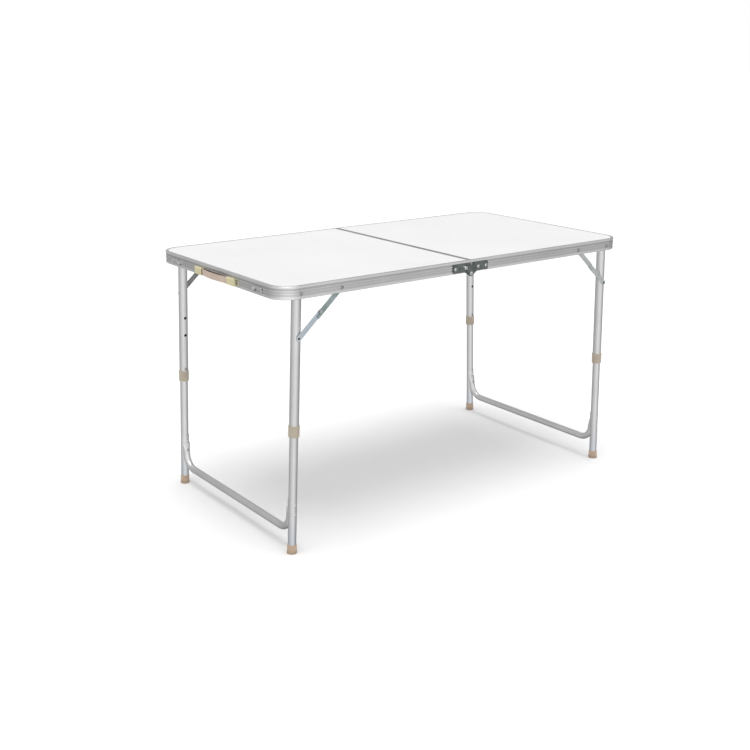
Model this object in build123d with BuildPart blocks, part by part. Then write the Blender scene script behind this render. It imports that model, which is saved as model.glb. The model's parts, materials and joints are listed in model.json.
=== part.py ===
from build123d import *
import math
import os

os.makedirs("parts", exist_ok=True)

# Folding suitcase table, 1200 x 625 x 700 mm, standing open on the plane z = 0.
# X runs along the length with the carrying handle at -X, the seam is the plane x = 0,
# side is -1 (left, handle half) or +1 (right), row is -1 (near, -Y) or +1 (far, +Y).

LEFT, RIGHT = -1, 1
NEAR, FAR = -1, 1
SIDES = {"left": LEFT, "right": RIGHT}
ROWS = {"near": NEAR, "far": FAR}

# Table top and edge rails
table_length = 1200
table_width = 625
table_height = 700
rail_height = 33
corner_radius = 55
half_length = table_length / 2
half_width = table_width / 2
rail_bottom = table_height - rail_height
lip_width = 8
lip_thickness = 1.2
web_outer = 1.4
web_inner = 2.8
bead_depth = 0.3
ledge_width = 9
ledge_top = table_height - 4.4
ledge_thickness = 1.6
seam_gap = 0.25
board_thickness = 4
board_rebate = 1
fit = 0.2
head_bottom = ledge_top - ledge_thickness
upper_rib = (686.2, 688.4)
lower_rib = (679.8, 681.8)
bead_top = 674
edge_round = 1.5
rib_round = 0.6
rivet_bore = 2.5
pivot_bore = 3.2
spot_radius = 4.7

# The rail's section as rings: outer inset, inner inset, lowest z, highest z
RAIL_RINGS = [
    (0, lip_width, table_height - lip_thickness, table_height),
    (0, web_inner, head_bottom, table_height - lip_thickness),
    (0, ledge_width, ledge_top - ledge_thickness, ledge_top),
    (web_outer, web_inner, bead_top, head_bottom),
    (0, web_inner, upper_rib[0], upper_rib[1]),
    (0, web_inner, lower_rib[0], lower_rib[1]),
    (bead_depth, web_inner, rail_bottom, bead_top),
]

# Heights of the rail's outer edges that are rounded, with their radii
EDGE_ROUNDS = [
    (table_height, edge_round),
    (head_bottom, rib_round),
    (upper_rib[0], rib_round),
    (upper_rib[1], rib_round),
    (lower_rib[0], rib_round),
    (lower_rib[1], rib_round),
    (bead_top, rib_round),
    (rail_bottom, edge_round),
]

# Seam trim: a C channel closed towards the seam
trim_width = 7
trim_wall = 1.4
trim_bottom = 693
trim_floor = 1.2
trim_half_length = half_width - ledge_width - fit

# Legs
lean = 2.2
leg_inset_x = 61
leg_y = half_width - 22.5
pivot_z = 680
pivot_x = half_length - leg_inset_x
upper_radius = 12.5
upper_bore = 11.3
upper_end = 362
lower_radius = 11
lower_bore = 9.8
lower_top = 265
leg_drop = pivot_z / math.cos(math.radians(lean))
button_drop = 330
button_radius = 3.4
button_clearance = 0.4
hole_spacings = (0, 100, 150)
hole_radius = 4
swing_radius = 15
collar_radius = 14.25
collar_top = 336
collar_bottom = 366
cap_radius = 13.4
cap_top_radius = 12
cap_height = 24
cap_floor = 3
cap_overrun = 3

# Braces: distance of the rail pivot and of the leg pivot from the leg's own pivot
rail_arm = 120
leg_arm = 112
stretched = math.sqrt(rail_arm**2 + leg_arm**2 + 2 * rail_arm * leg_arm * math.sin(math.radians(lean)))
lower_link_length = (stretched + rail_arm - leg_arm) / 2
upper_link_length = stretched - lower_link_length
link_angle = math.degrees(
    math.atan2(leg_arm * math.cos(math.radians(lean)), rail_arm + leg_arm * math.sin(math.radians(lean)))
)
link_half_width = 7
link_thickness = 1.5
upper_link_tail = 18
lower_link_tail = 0.5
link_hole = 2.3
upper_link_y = half_width - 5.5
lower_link_y = half_width - 8.2
boss_face = half_width - 8.5
boss_radius = 5.5
middle_head = 0.8
leg_end_head = 0.9
hollow_radius = 1.4
middle_hollow = 3.3
leg_end_hollow = 1.5

# Crossbar
bar_radius = 9.5
bar_bore = 8.3
bar_z = 57
bar_bend = 44
bar_end_z = 102
bar_end_y = leg_y - 11.5
crimp_top_z = 126
crimp_y = leg_y - 9
crimp_size = (12.4, 3.6)
saddle_top = 150
saddle_bottom = 96
saddle_radius = 12.6
bar_rivet_heights = (132, 107)
bar_rivet_pocket = 4.2

# Centre hinges
hinge_z = 664.5
plate_thickness = 1.8
plate_end = 61
plate_top = 692.3
plate_bottom = 669.5
ear_radius = 8
joggle = 2.1
joggle_start = 10
joggle_end = 20
hinge_rivet_x = 54
second_rivet_x = 27
hinge_rivet_z = 680.5
plate_round = 1
ear_flank = ear_radius * math.sqrt(0.5)
stud_x = 26.6
stud_z = 683.2
stud_radius = 4.8
stud_reach = 14
tail_end = 21.4
tail_top = 687.5
tail_bottom = 679

# Handle and latches
handle_half = 100
handle_centre = -8
handle_cap_length = 36
handle_reach = 8
handle_wall = 1.3
handle_rivet_y = handle_half - 9
handle_rivet_radius = 2
handle_z = 679
handle_height = 19
strap_thickness = 2.2
strap_width = 16
strap_bow = 9.7
latch_y = 194
latch_seat_radius = 5
latch_z = 679.7
catch_distance = 2 * (latch_z - hinge_z)
hook_thickness = 2


def save(piece, name):
    """Label a finished sub-part and write it to its own file."""
    piece.part.label = name
    export_step(piece.part, f"parts/{name}.step")


def discs(origin, direction, steps):
    """Coaxial discs and cones: each step is (start radius, end radius, start, end)."""
    for start_radius, end_radius, start, end in steps:
        with Locations(Plane(origin=Vector(*origin) + Vector(*direction) * start, z_dir=direction)):
            if start_radius == end_radius:
                Cylinder(start_radius, end - start, align=(Align.CENTER, Align.CENTER, Align.MIN))
            else:
                Cone(start_radius, end_radius, end - start, align=(Align.CENTER, Align.CENTER, Align.MIN))


def bores(points, direction, radius, length):
    """Holes of one radius, bored both ways from each point along a direction."""
    for point in points:
        with Locations(Plane(origin=point, z_dir=direction)):
            Cylinder(radius, length, mode=Mode.SUBTRACT)


def recess(x, y, z, radius=1.5, depth=1.2):
    """Blind holes in the two rivet heads whose outer faces lie at y = -y and y = +y."""
    bores([(x, -y, z), (x, y, z)], (0, 1, 0), radius, 2 * depth)


def wall(row, y):
    """Vertical plane at y = row * y, with X and Z as its own axes."""
    return Plane.XZ.offset(-row * y)


def leg_up(side):
    """Unit vector along a leg, from its foot to its pivot."""
    return Vector(-side * math.sin(math.radians(lean)), 0, math.cos(math.radians(lean)))


def leg_across(side):
    """Unit vector square to a leg, level with the table's length."""
    return Vector(math.cos(math.radians(lean)), 0, side * math.sin(math.radians(lean)))


def leg_plane(side, drop):
    """Plane square to the legs of one side, at a distance below their pivot."""
    origin = Vector(side * pivot_x, 0, pivot_z) - leg_up(side) * drop
    return Plane(origin=origin, x_dir=leg_across(side), z_dir=leg_up(side))


def on_leg(side, row, drop, y=leg_y):
    """Point on a leg's centre line, or beside it at another y."""
    point = Vector(side * pivot_x, row * y, pivot_z) - leg_up(side) * drop
    return (point.X, point.Y, point.Z)


def drop_at(height):
    """Distance below the pivot, along the leg, of a height above the floor."""
    return leg_drop - height / math.cos(math.radians(lean))


def rail_point(side, row, x):
    """Point on a long rail's web at the height of the leg pivots."""
    return (side * x, row * half_width, pivot_z)


def half_outline(side, inset, near_seam):
    """Sketch of one half's outline: inset from the rail, and starting at near_seam from the seam."""
    with BuildSketch() as outline:
        RectangleRounded(table_length - 2 * inset, table_width - 2 * inset, corner_radius - inset)
        with Locations((side * (half_length + near_seam), 0)):
            Rectangle(table_length, 2 * table_width, mode=Mode.INTERSECT)
    return outline.sketch


def outline_edges(frame, height):
    """The frame's outermost edges at one height: two long runs, two corners and an end run."""
    found = []
    for edge in frame.edges():
        box = edge.bounding_box()
        level = abs(box.min.Z - height) < 0.01 and abs(box.max.Z - height) < 0.01
        beyond_x = half_length - max(abs(box.min.X), abs(box.max.X))
        beyond_y = half_width - max(abs(box.min.Y), abs(box.max.Y))
        at_seam = max(abs(box.min.X), abs(box.max.X)) < 1
        if level and not at_seam and min(beyond_x, beyond_y) < bead_depth + 0.05:
            found.append(edge)
    return found


def board(side):
    """Laminated board, rebated at its edge to pass under the lip and the seam trim."""
    with BuildPart() as panel:
        with BuildSketch(Plane.XY.offset(ledge_top)):
            add(half_outline(side, web_inner + fit, seam_gap + trim_wall + fit))
        extrude(amount=board_thickness - board_rebate)
        with BuildSketch(Plane.XY.offset(ledge_top + board_thickness - board_rebate)):
            add(half_outline(side, lip_width + fit, seam_gap + trim_width + fit))
        extrude(amount=board_rebate)
    return panel


def edge_frame(side):
    """Extruded rail bent round three sides of a half, with its rivet holes."""
    with BuildPart() as frame:
        for outer, inner, low, high in RAIL_RINGS:
            with BuildSketch(Plane.XY.offset(low)):
                add(half_outline(side, outer, seam_gap))
                add(half_outline(side, inner, -1), mode=Mode.SUBTRACT)
            extrude(amount=high - low)
        for height, radius in EDGE_ROUNDS:
            fillet(outline_edges(frame, height), radius)
        for row in ROWS.values():
            bores([rail_point(side, row, pivot_x)], (0, 1, 0), pivot_bore, 20)
            bores([rail_point(side, row, pivot_x - rail_arm)], (0, 1, 0), rivet_bore, 20)
            for x in (pivot_x, pivot_x - rail_arm):
                bores([rail_point(side, row, x)], (0, 1, 0), spot_radius, 2 * web_outer)
            for x, z in hinge_fixings(side):
                bores([(side * x, row * half_width, z)], (0, 1, 0), rivet_bore, 20)
            bores([(side * half_length, row * latch_y, latch_z)], (1, 0, 0), rivet_bore, 20)
            if side == LEFT:
                rivet_y = handle_centre + row * handle_rivet_y
                bores([(-half_length, rivet_y, handle_z)], (1, 0, 0), handle_rivet_radius, 20)
                bores([(-half_length, row * latch_y, latch_z)], (1, 0, 0), latch_seat_radius, 2 * web_outer)
    return frame


def seam_trim(side):
    """Metal channel that closes the board's edge at the seam."""
    inner = seam_gap + trim_width
    with BuildPart() as trim:
        with BuildSketch(Plane.XZ):
            with BuildLine():
                Polyline(
                    (side * seam_gap, trim_bottom),
                    (side * seam_gap, table_height),
                    (side * inner, table_height),
                    (side * inner, table_height - lip_thickness),
                    (side * (seam_gap + trim_wall), table_height - lip_thickness),
                    (side * (seam_gap + trim_wall), trim_bottom + trim_floor),
                    (side * inner, trim_bottom + trim_floor),
                    (side * inner, trim_bottom),
                    close=True,
                )
            make_face()
        extrude(amount=trim_half_length, both=True)
    return trim


def leg_pivot_rivets(side):
    """Shouldered rivets on which the two upper tubes of a side swing."""
    with BuildPart() as rivets:
        for row in ROWS.values():
            discs(
                (side * pivot_x, 0, pivot_z),
                (0, row, 0),
                [
                    (5.5, 5.5, leg_y - 14, leg_y - 12.8),
                    (3, 3, leg_y - 12.8, leg_y + 12.8),
                    (5.5, 5.5, leg_y + 12.8, half_width - web_inner),
                    (3.2, 3.2, half_width - web_inner, half_width - web_outer),
                    (4.5, 4.5, half_width - web_outer, half_width - 0.4),
                    (4.5, 3, half_width - 0.4, half_width + 0.8),
                ],
            )
        recess(side * pivot_x, half_width + 0.8, pivot_z)
    return rivets


def brace_rail_rivets(side):
    """Rivets that hang the upper links of a side from the long rails."""
    with BuildPart() as rivets:
        for row in ROWS.values():
            discs(
                (side * (pivot_x - rail_arm), 0, pivot_z),
                (0, row, 0),
                [
                    (3, 3, upper_link_y - 1, upper_link_y - 0.1),
                    (2.2, 2.2, upper_link_y - 0.1, half_width - web_inner - 0.9),
                    (4.5, 4.5, half_width - web_inner - 0.9, half_width - web_inner),
                    (2.5, 2.5, half_width - web_inner, half_width - web_outer),
                    (4.5, 4.5, half_width - web_outer, half_width - 0.4),
                    (4.5, 3, half_width - 0.4, half_width + 0.5),
                ],
            )
        recess(side * (pivot_x - rail_arm), half_width + 0.5, pivot_z)
    return rivets


def hinge_fixings(side):
    """Distances from the seam and heights of the rivets that hold one hinge plate."""
    if side == LEFT:
        return [(hinge_rivet_x, hinge_rivet_z), (stud_x, stud_z)]
    return [(hinge_rivet_x, hinge_rivet_z), (second_rivet_x, hinge_rivet_z)]


def left_hinge_plate(row):
    """Inner hinge plate, with its ear below the rail."""
    with BuildPart() as plate:
        with BuildSketch(wall(row, half_width)):
            with BuildLine():
                Polyline(
                    (-plate_end, plate_bottom),
                    (-plate_end, plate_top),
                    (-seam_gap, plate_top),
                    (-seam_gap, hinge_z),
                    (-ear_flank, hinge_z - ear_flank),
                    (-22, plate_bottom),
                    close=True,
                )
            make_face()
            with Locations((0, hinge_z)):
                Circle(ear_radius)
        extrude(amount=-row * plate_thickness)
        corners = plate.edges().filter_by(Axis.Y).group_by(Axis.X)[0]
        fillet(corners, plate_round)
        bores([(0, row * half_width, hinge_z)], (0, 1, 0), 2.5, 20)
        bores([(-x, row * half_width, z) for x, z in hinge_fixings(LEFT)], (0, 1, 0), 2.5, 20)
    return plate


def right_hinge_plate(row):
    """Outer hinge plate: joggled outwards to carry the ear and the tail that meets the stop stud."""
    with BuildPart() as plate:
        with BuildSketch(wall(row, half_width)):
            with Locations((joggle_start, plate_bottom)):
                Rectangle(plate_end - joggle_start, plate_top - plate_bottom, align=(Align.MIN, Align.MIN))
        extrude(amount=-row * plate_thickness)
        corners = plate.edges().filter_by(Axis.Y).group_by(Axis.X)[-1]
        fillet(corners, plate_round)
        with BuildSketch(wall(row, half_width)):
            with Locations((joggle_start, plate_bottom)):
                Rectangle(joggle_end - joggle_start, tail_top - plate_bottom, align=(Align.MIN, Align.MIN))
        extrude(amount=-row * (joggle + plate_thickness))
        with BuildSketch(wall(row, half_width + joggle)):
            with BuildLine():
                Polyline(
                    (-tail_end, tail_bottom),
                    (-tail_end, tail_top),
                    (joggle_end, tail_top),
                    (joggle_end, plate_bottom),
                    (ear_flank, hinge_z - ear_flank),
                    (-ear_radius, hinge_z),
                    close=True,
                )
            make_face()
            with Locations((0, hinge_z)):
                Circle(ear_radius)
        extrude(amount=-row * plate_thickness)
        bores([(0, row * half_width, hinge_z)], (0, 1, 0), 2.55, 20)
        bores([(x, row * half_width, z) for x, z in hinge_fixings(RIGHT)], (0, 1, 0), 2.5, 20)
    return plate


def hinge_rivets(side):
    """Rivets through the hinge plates and the web of one half."""
    places = hinge_fixings(side)[:1] if side == LEFT else hinge_fixings(side)
    with BuildPart() as rivets:
        for row in ROWS.values():
            for x, z in places:
                discs(
                    (side * x, 0, z),
                    (0, row, 0),
                    [
                        (3.8, 3.8, half_width - web_inner - 1, half_width - web_inner),
                        (2.5, 2.5, half_width - web_inner, half_width + plate_thickness),
                        (4.5, 4.5, half_width + plate_thickness, half_width + plate_thickness + 0.5),
                        (4.5, 2.8, half_width + plate_thickness + 0.5, half_width + plate_thickness + 1.4),
                    ],
                )
        for x, z in places:
            recess(side * x, half_width + plate_thickness + 1.4, z, 1.7, 1.6)
    return rivets


def stop_studs():
    """Studs on the left hinge plates, against the tails of the right ones."""
    with BuildPart() as studs:
        for row in ROWS.values():
            discs(
                (-stud_x, 0, stud_z),
                (0, row, 0),
                [
                    (3.8, 3.8, half_width - web_inner - 1, half_width - web_inner),
                    (2.5, 2.5, half_width - web_inner, half_width + plate_thickness),
                    (stud_radius, stud_radius, half_width + plate_thickness, half_width + stud_reach - 0.6),
                    (stud_radius, stud_radius - 0.6, half_width + stud_reach - 0.6, half_width + stud_reach),
                ],
            )
        recess(-stud_x, half_width + stud_reach, stud_z, 2.4, 5)
    return studs


def hinge_pins():
    """Pivot rivets of the two centre hinges."""
    with BuildPart() as pins:
        for row in ROWS.values():
            discs(
                (0, 0, hinge_z),
                (0, row, 0),
                [
                    (2.5, 2.5, half_width, half_width + 4.9),
                    (4.4, 4.4, half_width + 4.9, half_width + 5.4),
                    (4.4, 2.8, half_width + 5.4, half_width + 6.3),
                ],
            )
        recess(0, half_width + 6.3, hinge_z, 1.7, 1.4)
    return pins


def hinge_washers():
    """Washers under the heads of the hinge pins."""
    with BuildPart() as washers:
        for row in ROWS.values():
            discs((0, 0, hinge_z), (0, row, 0), [(5.4, 5.4, half_width + 4.2, half_width + 4.9)])
        bores([(0, 0, hinge_z)], (0, 1, 0), 2.5, 2 * table_width)
    return washers


def upper_tube(side, row):
    """Upper leg tube: a rounded pivot end, a boss for the brace and three button holes."""
    top = math.sqrt(swing_radius**2 - upper_radius**2)
    with BuildPart() as tube:
        with BuildSketch(leg_plane(side, upper_end)):
            with Locations((0, row * leg_y)):
                Circle(upper_radius)
        extrude(amount=upper_end + top)
        discs(on_leg(side, row, leg_arm, 0), (0, row, 0), [(boss_radius, boss_radius, leg_y + 9, boss_face)])
        with BuildSketch(leg_plane(side, upper_end)):
            with Locations((0, row * leg_y)):
                Circle(upper_bore)
        extrude(amount=upper_end + top, mode=Mode.SUBTRACT)
        bores([on_leg(side, row, 0)], (0, 1, 0), 3.3, 40)
        for spacing in hole_spacings:
            hole = on_leg(side, row, button_drop - spacing, leg_y - upper_radius)
            bores([hole], (0, 1, 0), hole_radius, 10)
    return tube


def top_plugs(side):
    """Plastic plugs that fill the pivot ends of a side's upper tubes."""
    top = math.sqrt(swing_radius**2 - upper_radius**2)
    with BuildPart() as plugs:
        for row in ROWS.values():
            with BuildSketch(leg_plane(side, -top)):
                with Locations((0, row * leg_y)):
                    Circle(upper_radius)
            extrude(amount=swing_radius - top)
        with Locations(Plane(origin=(side * pivot_x, 0, pivot_z), z_dir=(0, 1, 0))):
            Cylinder(swing_radius, 2 * table_width, mode=Mode.INTERSECT)
        for row in ROWS.values():
            with BuildSketch(leg_plane(side, 22)):
                with Locations((0, row * leg_y)):
                    Circle(upper_bore)
            extrude(amount=22 + top)
        bores([(side * pivot_x, 0, pivot_z)], (0, 1, 0), 3.05, 2 * table_width)
    return plugs


def collars(side):
    """Plastic collars at the lower ends of a side's upper tubes."""
    with BuildPart() as rings:
        for row in ROWS.values():
            with BuildSketch(leg_plane(side, collar_bottom)):
                with Locations((0, row * leg_y)):
                    Circle(collar_radius)
            extrude(amount=collar_bottom - collar_top)
        chamfer(rings.edges().filter_by(GeomType.CIRCLE), 0.8)
        for row in ROWS.values():
            with BuildSketch(leg_plane(side, collar_bottom)):
                with Locations((0, row * leg_y)):
                    Circle(upper_bore)
            extrude(amount=collar_bottom - collar_top, mode=Mode.SUBTRACT)
            with BuildSketch(leg_plane(side, upper_end)):
                with Locations((0, row * leg_y)):
                    Circle(upper_radius)
            extrude(amount=upper_end - collar_top, mode=Mode.SUBTRACT)
    return rings


def lower_tube(side, row):
    """Lower leg tube with its button hole and crossbar rivet holes."""
    bottom = drop_at(cap_floor + 0.5)
    with BuildPart() as tube:
        with BuildSketch(leg_plane(side, bottom)):
            with Locations((0, row * leg_y)):
                Circle(lower_radius)
                Circle(lower_bore, mode=Mode.SUBTRACT)
        extrude(amount=bottom - lower_top)
        bores([on_leg(side, row, button_drop, leg_y - lower_radius)], (0, 1, 0), button_radius + 0.3, 10)
        bores([on_leg(side, row, drop_at(z)) for z in bar_rivet_heights], (0, 1, 0), 2.2, 40)
    return tube


def foot_caps(side):
    """Plastic caps on a side's feet, widening downwards and cut level with the floor."""
    with BuildPart() as caps:
        for row in ROWS.values():
            discs(
                on_leg(side, row, drop_at(-cap_overrun)),
                leg_up(side),
                [(cap_radius, cap_top_radius, 0, drop_at(-cap_overrun) - drop_at(cap_height))],
            )
        for row in ROWS.values():
            with BuildSketch(leg_plane(side, drop_at(cap_floor + 0.5))):
                with Locations((0, row * leg_y)):
                    Circle(lower_radius)
            extrude(amount=cap_height, mode=Mode.SUBTRACT)
        split(bisect_by=Plane.XY, keep=Keep.TOP)
    return caps


def crossbar(side):
    """U-shaped tube between the lower legs, crimped at its ends into saddles that hug them."""
    across = leg_across(side)
    frame_plane = Plane(origin=(side * pivot_x, 0, pivot_z), x_dir=(0, 1, 0), z_dir=across)
    end_drop = drop_at(bar_end_z)
    bar_drop = drop_at(bar_z)
    with BuildPart() as bar:
        with BuildLine(frame_plane) as path:
            FilletPolyline(
                (-bar_end_y, -end_drop),
                (-bar_end_y, -bar_drop),
                (bar_end_y, -bar_drop),
                (bar_end_y, -end_drop),
                radius=bar_bend,
            )
        with BuildSketch(Plane(origin=path.line @ 0, x_dir=across, z_dir=path.line % 0)):
            Circle(bar_radius)
            Circle(bar_bore, mode=Mode.SUBTRACT)
        sweep()
        for row in ROWS.values():
            with BuildSketch(leg_plane(side, end_drop)):
                with Locations((0, row * bar_end_y)):
                    Circle(bar_radius)
            with BuildSketch(leg_plane(side, drop_at(crimp_top_z))):
                with Locations((0, row * crimp_y)):
                    Ellipse(*crimp_size)
            loft()
        for row in ROWS.values():
            with BuildSketch(leg_plane(side, drop_at(saddle_bottom))):
                with Locations((0, row * leg_y)):
                    Circle(saddle_radius)
                with Locations((0, row * (leg_y - saddle_radius))):
                    Rectangle(2 * saddle_radius, 2 * (saddle_radius - 5), mode=Mode.INTERSECT)
            extrude(amount=drop_at(saddle_bottom) - drop_at(saddle_top))
        for row in ROWS.values():
            with BuildSketch(leg_plane(side, leg_drop)):
                with Locations((0, row * leg_y)):
                    Circle(lower_radius)
            extrude(amount=300, mode=Mode.SUBTRACT)
            bores([on_leg(side, row, drop_at(z)) for z in bar_rivet_heights], (0, 1, 0), 2.2, 40)
            pocket_y = leg_y - saddle_radius - 10
            bores(
                [on_leg(side, row, drop_at(z), pocket_y) for z in bar_rivet_heights],
                (0, 1, 0),
                bar_rivet_pocket,
                20,
            )
    return bar


def crossbar_rivets(side):
    """Rivets through the saddles and the lower tubes of a side."""
    inner_face = leg_y - saddle_radius
    outer_face = leg_y + lower_radius
    with BuildPart() as rivets:
        for row in ROWS.values():
            for height in bar_rivet_heights:
                discs(
                    on_leg(side, row, drop_at(height), 0),
                    (0, row, 0),
                    [
                        (2.6, 3.8, inner_face - 1.2, inner_face - 0.4),
                        (3.8, 3.8, inner_face - 0.4, inner_face),
                        (2.2, 2.2, inner_face, outer_face),
                        (3.8, 3.8, outer_face, outer_face + 0.4),
                        (3.8, 2.6, outer_face + 0.4, outer_face + 1.2),
                    ],
                )
                recess(on_leg(side, row, drop_at(height))[0], outer_face + 1.2, height)
    return rivets


def button(side, row):
    """Spring button on its leaf, inside the lower tube and facing the other leg."""
    crown = leg_y - upper_bore + button_clearance
    seat = leg_y - 6.2
    leaf = leg_y - 5.4
    with BuildPart() as snap:
        discs(
            on_leg(side, row, button_drop, 0),
            (0, row, 0),
            [
                (button_radius - 1, button_radius, crown, crown + 1),
                (button_radius, button_radius, crown + 1, seat),
            ],
        )
        with BuildSketch(leg_plane(side, button_drop + 12)):
            with Locations((0, row * (seat + leaf) / 2)):
                Rectangle(8, leaf - seat)
        extrude(amount=40)
    return snap


def link_outline(length, tab):
    """Sketch of a flat link along +X from its first hole, with a stub past the second."""
    with BuildSketch() as outline:
        with Locations((length / 2, 0)):
            SlotCenterToCenter(length, 2 * link_half_width)
        with Locations((length, -link_half_width)):
            Rectangle(tab, link_half_width, align=(Align.MIN, Align.MIN))
        with Locations((0, 0), (length, 0)):
            Circle(link_hole, mode=Mode.SUBTRACT)
    return outline.sketch


def link_plane(side, row, y):
    """Plane of a link at y, from the rail pivot towards the leg's brace boss."""
    origin = (side * (pivot_x - rail_arm), row * y, pivot_z)
    x_dir = (side * math.cos(math.radians(link_angle)), 0, -math.sin(math.radians(link_angle)))
    return Plane(origin=origin, x_dir=x_dir, z_dir=(0, -side, 0))


def upper_link(side, row):
    """Flat link from the rail rivet to the middle joint."""
    with BuildPart() as link:
        with BuildSketch(link_plane(side, row, upper_link_y)):
            add(link_outline(upper_link_length, upper_link_tail))
        extrude(amount=side * -row * link_thickness)
    return link


def lower_link(side, row):
    """Flat link from the middle joint to the leg."""
    with BuildPart() as link:
        with BuildSketch(link_plane(side, row, lower_link_y)):
            with Locations((upper_link_length, 0)):
                add(link_outline(lower_link_length, lower_link_tail))
        extrude(amount=side * -row * link_thickness)
    return link


def brace_rivets(side, row):
    """Middle rivet with its spacer, and the rivet at the leg end of the link, with hollow heads."""
    plane = link_plane(side, row, 0)
    middle = plane.from_local_coords(Vector(upper_link_length, 0, 0))
    leg_end = plane.from_local_coords(Vector(upper_link_length + lower_link_length, 0, 0))
    lower_face = lower_link_y + link_thickness
    upper_face = upper_link_y + link_thickness
    with BuildPart() as rivets:
        discs(
            (middle.X, 0, middle.Z),
            (0, row, 0),
            [
                (3.6, 3.6, lower_link_y - 0.9, lower_link_y),
                (2.3, 2.3, lower_link_y, lower_face),
                (4, 4, lower_face, upper_link_y - 0.1),
                (2.2, 2.2, upper_link_y - 0.1, upper_face + 0.1),
                (4, 3, upper_face + 0.1, upper_face + middle_head),
            ],
        )
        discs(
            (leg_end.X, 0, leg_end.Z),
            (0, row, 0),
            [
                (2.3, 2.3, lower_link_y, lower_face),
                (3.2, 2.6, lower_face, lower_face + leg_end_head),
            ],
        )
        middle_top = (middle.X, row * (upper_face + middle_head), middle.Z)
        bores([middle_top], (0, 1, 0), hollow_radius, 2 * middle_hollow)
        leg_end_top = (leg_end.X, row * (lower_face + leg_end_head), leg_end.Z)
        bores([leg_end_top], (0, 1, 0), hollow_radius, 2 * leg_end_hollow)
    return rivets


def handle_caps():
    """Hollow end caps that hold the handle strap against the left end rail."""
    with BuildPart() as caps:
        for row in ROWS.values():
            with BuildSketch(Plane.XY.offset(handle_z - handle_height / 2)):
                with Locations((-half_length, handle_centre + row * handle_half)):
                    Rectangle(
                        handle_reach,
                        handle_cap_length,
                        align=(Align.MAX, Align.MAX if row == FAR else Align.MIN),
                    )
            extrude(amount=handle_height)
        fillet(caps.faces().sort_by(Axis.X)[:2].edges(), 2.5)
        for row in ROWS.values():
            with BuildSketch(Plane.XY.offset(handle_z - handle_height / 2 + handle_wall)):
                mouth_y = handle_centre + row * (handle_half - handle_cap_length - 1)
                with Locations((-half_length - handle_wall, mouth_y)):
                    Rectangle(
                        handle_reach - 2 * handle_wall,
                        handle_cap_length - 1,
                        align=(Align.MAX, Align.MIN if row == FAR else Align.MAX),
                    )
            extrude(amount=handle_height - 2 * handle_wall, mode=Mode.SUBTRACT)
            rivet_y = handle_centre + row * handle_rivet_y
            bores([(-half_length, rivet_y, handle_z)], (1, 0, 0), handle_rivet_radius, 4)
    return caps


def handle_strap():
    """Bowed strap whose straight ends slide in the caps."""
    tab = handle_half - handle_cap_length + 20
    bow_start = handle_half - handle_cap_length + 4
    near_x = -half_length - handle_wall - 0.3
    bow_x = -half_length - strap_bow
    with BuildPart() as strap:
        with BuildLine(Plane.XY.offset(handle_z)) as centre:
            start = (near_x - strap_thickness / 2, handle_centre - tab)
            bend_in = (near_x - strap_thickness / 2, handle_centre - bow_start)
            bend_out = (near_x - strap_thickness / 2, handle_centre + bow_start)
            end = (near_x - strap_thickness / 2, handle_centre + tab)
            Line(start, bend_in)
            ThreePointArc(bend_in, (bow_x - strap_thickness / 2, handle_centre), bend_out)
            Line(bend_out, end)
        with BuildSketch(Plane(origin=centre.line @ 0, x_dir=(1, 0, 0), z_dir=(0, 1, 0))) as section:
            Rectangle(strap_thickness, strap_width)
        sweep(section.sketch, path=centre.line, transition=Transition.RIGHT)
    return strap


def end_rail_rivets():
    """Latch pivots and handle fixings on the left end rail."""
    inner_face = half_length - web_inner
    with BuildPart() as rivets:
        for row in ROWS.values():
            discs(
                (0, row * latch_y, latch_z),
                (-1, 0, 0),
                [
                    (4, 4, inner_face - 1.2, inner_face),
                    (2.5, 2.5, inner_face, half_length - web_outer),
                    (latch_seat_radius, latch_seat_radius, half_length - web_outer, half_length + 0.1),
                    (2.5, 2.5, half_length + 0.1, half_length + 2.7),
                    (5.5, 5.5, half_length + 2.7, half_length + 3.1),
                    (5.5, 3.4, half_length + 3.1, half_length + 4.2),
                ],
            )
            discs(
                (0, handle_centre + row * handle_rivet_y, handle_z),
                (-1, 0, 0),
                [
                    (3, 3, inner_face - 1, inner_face),
                    (handle_rivet_radius, handle_rivet_radius, inner_face, half_length + handle_wall),
                    (3.2, 3.2, half_length + handle_wall, half_length + handle_wall + 0.9),
                ],
            )
    return rivets


def latch_hook(row):
    """Flat hook: a round head, an arm beside the radius and a finger across its end."""
    arm_low, arm_high = -8.5, -3.2
    finger_start = catch_distance + 3.2
    finger_end = finger_start + 5.3
    plane = Plane(
        origin=(-half_length - 0.4, row * latch_y, latch_z),
        x_dir=(0, row, 0),
        z_dir=(-row, 0, 0),
    )
    with BuildPart() as hook:
        with BuildSketch(plane):
            with BuildLine():
                Polyline(
                    (0, arm_low),
                    (finger_end, arm_low),
                    (finger_end, 4),
                    (finger_start, 4),
                    (finger_start, arm_high),
                    (9, arm_high),
                    (6, 2),
                    close=True,
                )
            make_face()
            Circle(6.5)
            Circle(2.55, mode=Mode.SUBTRACT)
        extrude(amount=row * hook_thickness)
    return hook


def catch_studs():
    """Headed studs on the right end rail that the hooks hold when the case is shut."""
    inner_face = half_length - web_inner
    with BuildPart() as studs:
        for row in ROWS.values():
            discs(
                (0, row * latch_y, latch_z),
                (1, 0, 0),
                [
                    (4, 4, inner_face - 1.2, inner_face),
                    (2.5, 2.5, inner_face, half_length + 3),
                    (4.2, 3.4, half_length + 3, half_length + 4.2),
                ],
            )
    return studs


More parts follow.
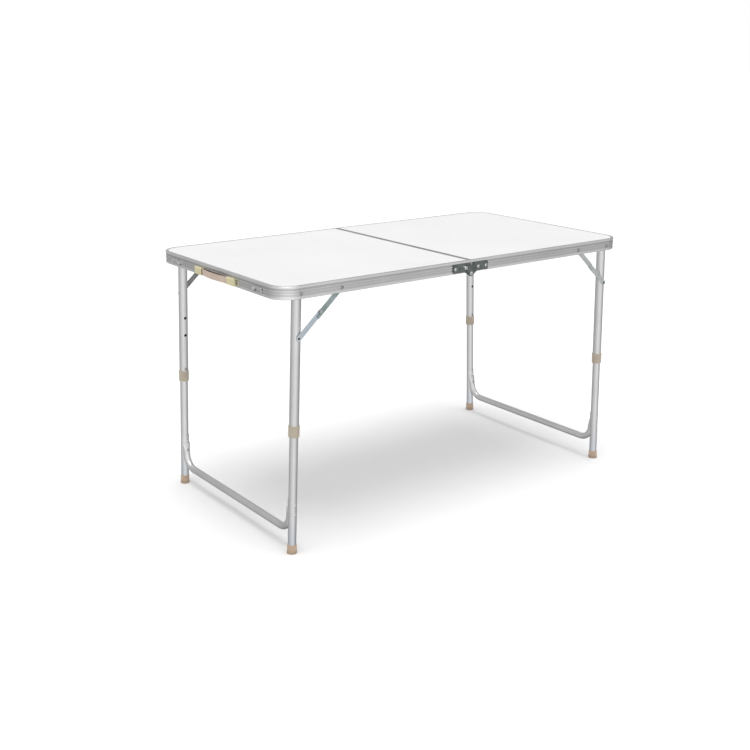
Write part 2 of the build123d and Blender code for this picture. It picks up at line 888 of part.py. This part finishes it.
for side_name, side in SIDES.items():
    save(board(side), f"{side_name}_board")
    save(edge_frame(side), f"{side_name}_edge_frame")
    save(seam_trim(side), f"{side_name}_seam_trim")
    save(leg_pivot_rivets(side), f"{side_name}_leg_pivot_rivets")
    save(brace_rail_rivets(side), f"{side_name}_brace_rail_rivets")
    save(hinge_rivets(side), f"{side_name}_hinge_rivets")
    save(top_plugs(side), f"{side_name}_top_plugs")
    save(collars(side), f"{side_name}_collars")
    save(foot_caps(side), f"{side_name}_foot_caps")
    save(crossbar(side), f"{side_name}_crossbar")
    save(crossbar_rivets(side), f"{side_name}_crossbar_rivets")
    for row_name, row in ROWS.items():
        save(upper_tube(side, row), f"{side_name}_{row_name}_upper_tube")
        save(lower_tube(side, row), f"{side_name}_{row_name}_lower_tube")
        save(button(side, row), f"{side_name}_{row_name}_button")
        save(upper_link(side, row), f"{side_name}_{row_name}_upper_link")
        save(lower_link(side, row), f"{side_name}_{row_name}_lower_link")
        save(brace_rivets(side, row), f"{side_name}_{row_name}_brace_rivets")

for row_name, row in ROWS.items():
    save(left_hinge_plate(row), f"left_{row_name}_hinge_plate")
    save(right_hinge_plate(row), f"right_{row_name}_hinge_plate")
    save(latch_hook(row), f"{row_name}_latch_hook")

save(hinge_pins(), "hinge_pins")
save(hinge_washers(), "hinge_washers")
save(stop_studs(), "stop_studs")
save(handle_caps(), "handle_caps")
save(handle_strap(), "handle_strap")
save(end_rail_rivets(), "end_rail_rivets")
save(catch_studs(), "catch_studs")
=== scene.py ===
import json
import math

import bmesh
import bpy
from mathutils import Matrix, Vector

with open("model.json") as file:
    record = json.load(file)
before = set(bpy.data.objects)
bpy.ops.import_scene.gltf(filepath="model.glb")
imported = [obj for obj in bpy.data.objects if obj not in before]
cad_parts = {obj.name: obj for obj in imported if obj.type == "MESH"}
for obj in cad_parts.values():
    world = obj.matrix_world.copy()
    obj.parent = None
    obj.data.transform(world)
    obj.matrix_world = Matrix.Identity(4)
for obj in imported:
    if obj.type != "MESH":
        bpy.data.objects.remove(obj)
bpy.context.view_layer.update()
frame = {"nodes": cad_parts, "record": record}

# Camera: place and reach in metres, heading from +Y towards +X, pitch and roll in radians,
# focal length and sensor width in millimetres
CAMERA_PLACE = (-1.9423, -2.4511, 1.2671)
CAMERA_YAW = 0.6497
CAMERA_PITCH = -0.2996
CAMERA_ROLL = 0.0057
CAMERA_LENS = 52.63
CAMERA_SENSOR = 36
CAMERA_REACH = 100

# Light: brightness of the surroundings for matt surfaces, and the overhead lamp's strength,
# apparent size in degrees, place in metres and tilt about X and Y in degrees
SKY_FILL = 0.765
LAMP_STRENGTH = 1.65
LAMP_ANGLE = 42
LAMP_PLACE = (0, 0, 4)
LAMP_TILT = (4, -3)

# Floor disc, in metres
FLOOR_RADIUS = 40
FLOOR_SEGMENTS = 96

# What polished surfaces see round about: direction in degrees from +Y towards +X, and brightness
STUDIO_BANDS = [
    (-180, 1.12),
    (-165, 1.2),
    (-142, 1.14),
    (-113, 0.98),
    (-82, 0.78),
    (-36, 0.54),
    (38, 0.46),
    (90, 0.42),
    (121, 0.56),
    (158, 0.92),
    (180, 1.12),
]

# How that brightness falls off with height: 0 is straight down, 0.5 is level and 1 is straight up
HEIGHT_BANDS = [(0.0, 0.55), (0.32, 0.92), (0.5, 1.0), (0.72, 1.0), (1.0, 1.0)]

# Range of the noise that is spread over a result, and the range that carries the colour patches
NOISE_RANGE = (0.25, 0.75)
PATCH_RANGE = (0.3, 0.7)

# Detail of the noise behind colour patches and behind the grain, and how rough both are
PATCH_DETAIL = 4.0
GRAIN_DETAIL = 2.0
NOISE_ROUGHNESS = 0.55

# Shares of the patches and of the grain in the variation of a surface's roughness
PATCH_SHARE = 0.6
GRAIN_SHARE = 0.4


def grey(level):
    """Neutral colour of one brightness."""
    return (level,) * 3


def link(tree, source, target):
    """Connect two sockets of a node tree."""
    tree.links.new(source, target)


def math_node(tree, operation, *operands):
    """Result socket of one Math node; the operands are sockets or numbers."""
    node = tree.nodes.new("ShaderNodeMath")
    node.operation = operation
    for socket, value in zip(node.inputs, operands):
        if isinstance(value, (int, float)):
            socket.default_value = value
        else:
            link(tree, value, socket)
    return node.outputs[0]


def axes_of(tree, vector):
    """Sockets of a vector's X, Y and Z."""
    node = tree.nodes.new("ShaderNodeSeparateXYZ")
    link(tree, vector, node.inputs[0])
    return dict(zip("XYZ", node.outputs))


def stretched_noise(tree, coordinates, scale, detail):
    """Noise whose grain has its own scale along X, Y and Z."""
    mapping = tree.nodes.new("ShaderNodeMapping")
    mapping.inputs["Scale"].default_value = scale
    link(tree, coordinates, mapping.inputs["Vector"])
    noise = tree.nodes.new("ShaderNodeTexNoise")
    noise.inputs["Scale"].default_value = 1.0
    noise.inputs["Detail"].default_value = detail
    noise.inputs["Roughness"].default_value = NOISE_ROUGHNESS
    link(tree, mapping.outputs[0], noise.inputs["Vector"])
    return noise.outputs[0]


def ramp(tree, factor, stops):
    """Colour ramp; each stop is (position, colour)."""
    node = tree.nodes.new("ShaderNodeValToRGB")
    elements = node.color_ramp.elements
    for position, _ in stops[2:]:
        elements.new(position)
    for element, (position, colour) in zip(elements, stops):
        element.position = position
        element.color = (*colour, 1)
    link(tree, factor, node.inputs[0])
    return node.outputs[0]


def mix(tree, factor, a, b, blend="MIX"):
    """Mix of two colours; each is a socket or an RGB tuple."""
    node = tree.nodes.new("ShaderNodeMix")
    node.data_type = "RGBA"
    node.blend_type = blend
    if isinstance(factor, (int, float)):
        node.inputs[0].default_value = factor
    else:
        link(tree, factor, node.inputs[0])
    for socket, value in ((node.inputs[6], a), (node.inputs[7], b)):
        if isinstance(value, tuple):
            socket.default_value = (*value, 1)
        else:
            link(tree, value, socket)
    return node.outputs[2]


def spread(tree, factor, source, target=(0.0, 1.0), interpolation="LINEAR"):
    """A number carried from one range to another, and held at the ends."""
    node = tree.nodes.new("ShaderNodeMapRange")
    node.interpolation_type = interpolation
    node.inputs["From Min"].default_value, node.inputs["From Max"].default_value = source
    node.inputs["To Min"].default_value, node.inputs["To Max"].default_value = target
    link(tree, factor, node.inputs["Value"])
    return node.outputs[0]


def tinted(tree, coordinates, colour, tint):
    """Colour with a second one multiplied in along an axis of the model."""
    tint_colour, axis, start, end = tint
    place = axes_of(tree, coordinates)[axis]
    if axis == "Y":
        place = math_node(tree, "ABSOLUTE", place)
    share = spread(tree, place, (start, end), interpolation="SMOOTHSTEP")
    return mix(tree, share, colour, mix(tree, 1.0, colour, tint_colour, "MULTIPLY"))


def profiled(tree, coordinates, colour, profile):
    """Colour with painted light and shade set by height, from the lowest stop of a profile to the
    highest.
    """
    low, high = profile[0][0], profile[-1][0]
    rise = spread(tree, axes_of(tree, coordinates)["Z"], (low, high))
    stops = [((height - low) / (high - low), grey(level)) for height, level in profile]
    return mix(tree, 1.0, colour, ramp(tree, rise, stops), "MULTIPLY")


def surface(
    name,
    dark,
    light,
    metallic,
    roughness,
    patch,
    grain,
    grain_depth,
    bump=0.00002,
    tint=None,
    profile=None,
    specular=0.5,
):
    """Node material with colour patches between dark and light and a fine directional grain.

    The grain shows in the colour, the roughness and the bump. tint is (colour, axis, start, end), with Y
    counted outwards from the middle. profile is a list of (height, brightness) from the lowest upwards,
    for painted light and shade.
    """
    material = bpy.data.materials.new(name)
    material.use_nodes = True
    tree = material.node_tree
    shader = tree.nodes["Principled BSDF"]
    coordinates = tree.nodes.new("ShaderNodeTexCoord").outputs["Object"]
    patches = stretched_noise(tree, coordinates, (patch, patch, patch), PATCH_DETAIL)
    lines = stretched_noise(tree, coordinates, grain, GRAIN_DETAIL)
    colour = ramp(tree, patches, list(zip(PATCH_RANGE, (dark, light))))
    shade = spread(tree, lines, NOISE_RANGE, (1.0 - grain_depth, 1.0))
    shade_colour = tree.nodes.new("ShaderNodeCombineColor")
    for socket in shade_colour.inputs:
        link(tree, shade, socket)
    colour = mix(tree, 1.0, colour, shade_colour.outputs[0], "MULTIPLY")
    if tint:
        colour = tinted(tree, coordinates, colour, tint)
    if profile:
        colour = profiled(tree, coordinates, colour, profile)
    link(tree, colour, shader.inputs["Base Color"])
    patch_part = math_node(tree, "MULTIPLY", patches, PATCH_SHARE)
    grain_part = math_node(tree, "MULTIPLY", lines, GRAIN_SHARE)
    blotches = math_node(tree, "ADD", patch_part, grain_part)
    link(tree, spread(tree, blotches, NOISE_RANGE, roughness), shader.inputs["Roughness"])
    shader.inputs["Metallic"].default_value = metallic
    shader.inputs["Specular IOR Level"].default_value = specular
    relief = tree.nodes.new("ShaderNodeBump")
    relief.inputs["Strength"].default_value = 1.0
    relief.inputs["Distance"].default_value = bump
    link(tree, lines, relief.inputs["Height"])
    link(tree, relief.outputs[0], shader.inputs["Normal"])
    return material


# Scales of the grain along X, Y and Z: low along the draw lines of a profile, high across them
ALONG_RAIL = (3.0, 3.0, 1400.0)
ALONG_SEAM = (900.0, 4.0, 900.0)
ALONG_LEG = (1300.0, 1300.0, 4.0)
ALONG_BAR = (1100.0, 4.0, 1100.0)
ALONG_STRAP = (1200.0, 150.0, 1200.0)
FINE = (1600.0, 1600.0, 1600.0)
PAPER = (900.0, 900.0, 900.0)
LAMINATE = (420.0, 420.0, 420.0)

# Painted highlights and shade on the rail by height, standing in for light on its rounded profile:
# bright lip, dark groove, two bright ribs and a bright bottom bead
RAIL_PAINTED_LIGHT_PROFILE = [
    (0.6670, 1.0),
    (0.6700, 1.0),
    (0.6735, 0.92),
    (0.6755, 0.74),
    (0.6785, 0.74),
    (0.6808, 0.95),
    (0.6830, 0.72),
    (0.6852, 0.72),
    (0.6873, 1.0),
    (0.6895, 0.66),
    (0.6925, 0.62),
    (0.6945, 0.98),
    (0.6975, 0.98),
    (0.7000, 0.95),
]

# Lower tubes turn bluer towards the floor, and the foot caps darker towards their soles:
# colour, axis, and the heights where the change starts and ends
TUBE_COOLING = ((0.90, 0.95, 1.0), "Z", 0.10, 0.03)
SOLE_SHADE = ((0.78, 0.76, 0.76), "Z", 0.014, 0.004)

# Painted shade in the rivet hollows: rivet heads are darkened inwards of their outer faces, between
# these distances from the table's middle.
# The heads at the leg ends of the braces lie further in, so they are painted dark all over.
HINGE_RIVET_PAINTED_SHADE = (grey(0.05), "Y", 0.3153, 0.3145)
HINGE_PIN_PAINTED_SHADE = (grey(0.05), "Y", 0.3184, 0.3176)
RAIL_RIVET_PAINTED_SHADE = (grey(0.12), "Y", 0.3128, 0.3122)
BRACE_RIVET_PAINTED_SHADE = (grey(0.12), "Y", 0.3090, 0.3086)

# Look of each material slot
FINISHES = {
    "board_laminate": surface(
        "laminate_board", dark=(0.78, 0.78, 0.785), light=(0.81, 0.81, 0.81), metallic=0.0,
        roughness=(0.36, 0.46), patch=5.0, grain=LAMINATE, grain_depth=0.02, bump=0.00003, specular=0.4,
    ),
    "rail_aluminium": surface(
        "anodised_rail", dark=(0.80, 0.805, 0.80), light=(0.88, 0.885, 0.88), metallic=1.0,
        roughness=(0.28, 0.40), patch=9.0, grain=ALONG_RAIL, grain_depth=0.10, profile=RAIL_PAINTED_LIGHT_PROFILE,
    ),
    "trim_aluminium": surface(
        "anodised_trim", dark=(0.50, 0.50, 0.50), light=(0.58, 0.58, 0.575), metallic=1.0,
        roughness=(0.32, 0.45), patch=12.0, grain=ALONG_SEAM, grain_depth=0.14,
    ),
    "upper_leg_aluminium": surface(
        "satin_upper_leg", dark=(0.68, 0.675, 0.67), light=(0.74, 0.735, 0.735), metallic=1.0,
        roughness=(0.26, 0.36), patch=11.0, grain=ALONG_LEG, grain_depth=0.10,
    ),
    "lower_leg_aluminium": surface(
        "satin_lower_leg", dark=(0.69, 0.685, 0.695), light=(0.75, 0.745, 0.755), metallic=1.0,
        roughness=(0.28, 0.40), patch=11.0, grain=ALONG_LEG, grain_depth=0.08, tint=TUBE_COOLING,
    ),
    "crossbar_aluminium": surface(
        "satin_crossbar", dark=(0.72, 0.72, 0.725), light=(0.79, 0.79, 0.795), metallic=1.0,
        roughness=(0.32, 0.44), patch=10.0, grain=ALONG_BAR, grain_depth=0.10,
    ),
    "hinge_zinc": surface(
        "passivated_hinge", dark=(0.125, 0.145, 0.14), light=(0.215, 0.245, 0.235), metallic=0.9,
        roughness=(0.30, 0.46), patch=60.0, grain=FINE, grain_depth=0.18,
    ),
    "brace_zinc": surface(
        "blue_zinc_brace", dark=(0.56, 0.63, 0.68), light=(0.70, 0.78, 0.84), metallic=0.95,
        roughness=(0.28, 0.42), patch=45.0, grain=FINE, grain_depth=0.10,
    ),
    "rivet_steel": surface(
        "bright_rivet", dark=(0.74, 0.74, 0.74), light=(0.88, 0.88, 0.87), metallic=1.0,
        roughness=(0.20, 0.34), patch=160.0, grain=FINE, grain_depth=0.12,
    ),
    "latch_steel": surface(
        "plated_latch", dark=(0.70, 0.73, 0.72), light=(0.84, 0.86, 0.85), metallic=1.0,
        roughness=(0.22, 0.38), patch=70.0, grain=FINE, grain_depth=0.14,
    ),
    "button_steel": surface(
        "spring_steel_button", dark=(0.42, 0.42, 0.41), light=(0.56, 0.56, 0.55), metallic=1.0,
        roughness=(0.24, 0.40), patch=120.0, grain=FINE, grain_depth=0.14,
    ),
    "collar_plastic": surface(
        "tan_collar", dark=(0.43, 0.37, 0.29), light=(0.50, 0.435, 0.345), metallic=0.0,
        roughness=(0.44, 0.58), patch=40.0, grain=FINE, grain_depth=0.10, bump=0.00004,
    ),
    "foot_plastic": surface(
        "tan_foot", dark=(0.50, 0.375, 0.27), light=(0.58, 0.44, 0.325), metallic=0.0,
        roughness=(0.46, 0.62), patch=45.0, grain=FINE, grain_depth=0.12, bump=0.00005, tint=SOLE_SHADE,
    ),
    "plug_plastic": surface(
        "grey_plug", dark=(0.10, 0.10, 0.10), light=(0.15, 0.15, 0.15), metallic=0.0,
        roughness=(0.45, 0.60), patch=50.0, grain=FINE, grain_depth=0.12, bump=0.00004,
    ),
    "handle_strap_plastic": surface(
        "pink_tan_strap", dark=(0.52, 0.405, 0.33), light=(0.60, 0.475, 0.39), metallic=0.0,
        roughness=(0.46, 0.60), patch=32.0, grain=ALONG_STRAP, grain_depth=0.10, bump=0.00005,
    ),
    "handle_cap_plastic": surface(
        "cream_handle_cap", dark=(0.60, 0.55, 0.33), light=(0.68, 0.63, 0.40), metallic=0.0,
        roughness=(0.40, 0.54), patch=38.0, grain=FINE, grain_depth=0.08, bump=0.00004,
    ),
}

# Looks of single nodes: rivets with painted shade in their hollow centres, left links painted darker as
# shade, and paler right links
HINGE_RIVETS = ("left_hinge_rivets", "right_hinge_rivets")
HINGE_PINS = ("hinge_pins",)
RAIL_RIVETS = (
    "left_leg_pivot_rivets",
    "right_leg_pivot_rivets",
    "left_brace_rail_rivets",
    "right_brace_rail_rivets",
)
NEAR_BRACE_RIVETS = ("left_near_brace_rivets", "right_near_brace_rivets")
LEFT_FAR_BRACE = ("left_far_upper_link", "left_far_lower_link")
LEFT_NEAR_UPPER_LINK = ("left_near_upper_link",)
RIGHT_BRACES = (
    "right_near_upper_link",
    "right_near_lower_link",
    "right_far_upper_link",
    "right_far_lower_link",
)
SINGLE_FINISHES = {
    # Painted shade: the rivet and pin materials below darken their hollow centres through their tints
    HINGE_RIVETS: surface(
        "hinge_rivet_painted_hollow_shade", dark=(0.86, 0.86, 0.86), light=(0.95, 0.95, 0.94), metallic=1.0,
        roughness=(0.25, 0.38), patch=160.0, grain=FINE, grain_depth=0.10, tint=HINGE_RIVET_PAINTED_SHADE,
    ),
    HINGE_PINS: surface(
        "hinge_pin_painted_hollow_shade", dark=(0.86, 0.86, 0.86), light=(0.95, 0.95, 0.94), metallic=1.0,
        roughness=(0.25, 0.38), patch=160.0, grain=FINE, grain_depth=0.10, tint=HINGE_PIN_PAINTED_SHADE,
    ),
    RAIL_RIVETS: surface(
        "dull_rail_rivet_painted_hollow_shade", dark=(0.50, 0.50, 0.50), light=(0.62, 0.62, 0.61), metallic=1.0,
        roughness=(0.25, 0.38), patch=160.0, grain=FINE, grain_depth=0.10, tint=RAIL_RIVET_PAINTED_SHADE,
    ),
    NEAR_BRACE_RIVETS: surface(
        "brace_rivet_painted_hollow_shade", dark=(0.66, 0.67, 0.67), light=(0.80, 0.81, 0.81), metallic=1.0,
        roughness=(0.25, 0.38), patch=160.0, grain=FINE, grain_depth=0.10, tint=BRACE_RIVET_PAINTED_SHADE,
    ),
    # Painted shade: the left far links are painted dark grey for the shade they lie in
    LEFT_FAR_BRACE: surface(
        "shaded_brace", dark=(0.20, 0.20, 0.20), light=(0.30, 0.30, 0.30), metallic=0.95,
        roughness=(0.30, 0.44), patch=45.0, grain=FINE, grain_depth=0.12,
    ),
    # Painted shade: the near left upper link is painted darker for the shade beneath the rail
    LEFT_NEAR_UPPER_LINK: surface(
        "near_upper_link_painted_shade", dark=(0.30, 0.36, 0.36), light=(0.48, 0.56, 0.58), metallic=0.95,
        roughness=(0.28, 0.42), patch=45.0, grain=FINE, grain_depth=0.14,
    ),
    RIGHT_BRACES: surface(
        "pale_brace", dark=(0.60, 0.64, 0.62), light=(0.74, 0.78, 0.76), metallic=0.95,
        roughness=(0.28, 0.42), patch=45.0, grain=FINE, grain_depth=0.12,
    ),
}

for subpart in frame["record"]["subparts"]:
    piece = frame["nodes"][subpart["node"]]
    piece.data.materials.clear()
    piece.data.materials.append(FINISHES[subpart["material_slot"]])
for names, finish in SINGLE_FINISHES.items():
    for name in names:
        frame["nodes"][name].data.materials[0] = finish


def floor():
    """Wide pale floor with a fine paper grain."""
    mesh = bpy.data.meshes.new("floor")
    shape = bmesh.new()
    bmesh.ops.create_circle(shape, cap_ends=True, radius=FLOOR_RADIUS, segments=FLOOR_SEGMENTS)
    shape.to_mesh(mesh)
    shape.free()
    plane = bpy.data.objects.new("floor", mesh)
    bpy.context.scene.collection.objects.link(plane)
    paper = surface(
        "pale_floor", dark=(0.94, 0.94, 0.945), light=(0.955, 0.955, 0.955), metallic=0.0,
        roughness=(0.8, 0.9), patch=0.6, grain=PAPER, grain_depth=0.12, bump=0.0, specular=0.0,
    )
    plane.data.materials.append(paper)
    plane.visible_glossy = False


def surroundings():
    """White backdrop, even fill for matt surfaces and soft bands for polished ones."""
    world = bpy.data.worlds.new("studio")
    bpy.context.scene.world = world
    world.use_nodes = True
    tree = world.node_tree
    direction = axes_of(tree, tree.nodes.new("ShaderNodeTexCoord").outputs["Generated"])
    heading = math_node(tree, "ARCTAN2", direction["X"], direction["Y"])
    turn = math_node(tree, "MULTIPLY_ADD", heading, 0.5 / math.pi, 0.5)
    bands = ramp(tree, turn, [((angle + 180) / 360, grey(level)) for angle, level in STUDIO_BANDS])
    rise = math_node(tree, "MULTIPLY_ADD", direction["Z"], 0.5, 0.5)
    height = ramp(tree, rise, [(position, grey(level)) for position, level in HEIGHT_BANDS])
    polished = mix(tree, 1.0, bands, height, "MULTIPLY")
    rays = tree.nodes.new("ShaderNodeLightPath")
    seen = mix(tree, rays.outputs["Is Glossy Ray"], grey(SKY_FILL), polished)
    seen = mix(tree, rays.outputs["Is Camera Ray"], seen, grey(1.0))
    link(tree, seen, tree.nodes["Background"].inputs["Color"])


def lamp():
    """Large soft lamp almost straight overhead."""
    data = bpy.data.lights.new("overhead", "SUN")
    data.energy = LAMP_STRENGTH
    data.angle = math.radians(LAMP_ANGLE)
    light = bpy.data.objects.new("overhead", data)
    light.location = LAMP_PLACE
    light.rotation_euler = (math.radians(LAMP_TILT[0]), math.radians(LAMP_TILT[1]), 0)
    bpy.context.scene.collection.objects.link(light)


def camera():
    """Camera from its place and the three angles above."""
    data = bpy.data.cameras.new("camera")
    data.lens = CAMERA_LENS
    data.sensor_width = CAMERA_SENSOR
    data.clip_end = CAMERA_REACH
    forward = Vector(
        (
            math.sin(CAMERA_YAW) * math.cos(CAMERA_PITCH),
            math.cos(CAMERA_YAW) * math.cos(CAMERA_PITCH),
            math.sin(CAMERA_PITCH),
        )
    )
    level = Vector((math.cos(CAMERA_YAW), -math.sin(CAMERA_YAW), 0))
    upright = level.cross(forward)
    right = math.cos(CAMERA_ROLL) * level + math.sin(CAMERA_ROLL) * upright
    up = math.cos(CAMERA_ROLL) * upright - math.sin(CAMERA_ROLL) * level
    facing = Matrix((right, up, -forward)).transposed().to_4x4()
    view = bpy.data.objects.new("camera", data)
    view.matrix_world = Matrix.Translation(CAMERA_PLACE) @ facing
    bpy.context.scene.collection.objects.link(view)
    bpy.context.scene.camera = view


floor()
surroundings()
lamp()
camera()
bpy.context.scene.view_settings.view_transform = "Standard"
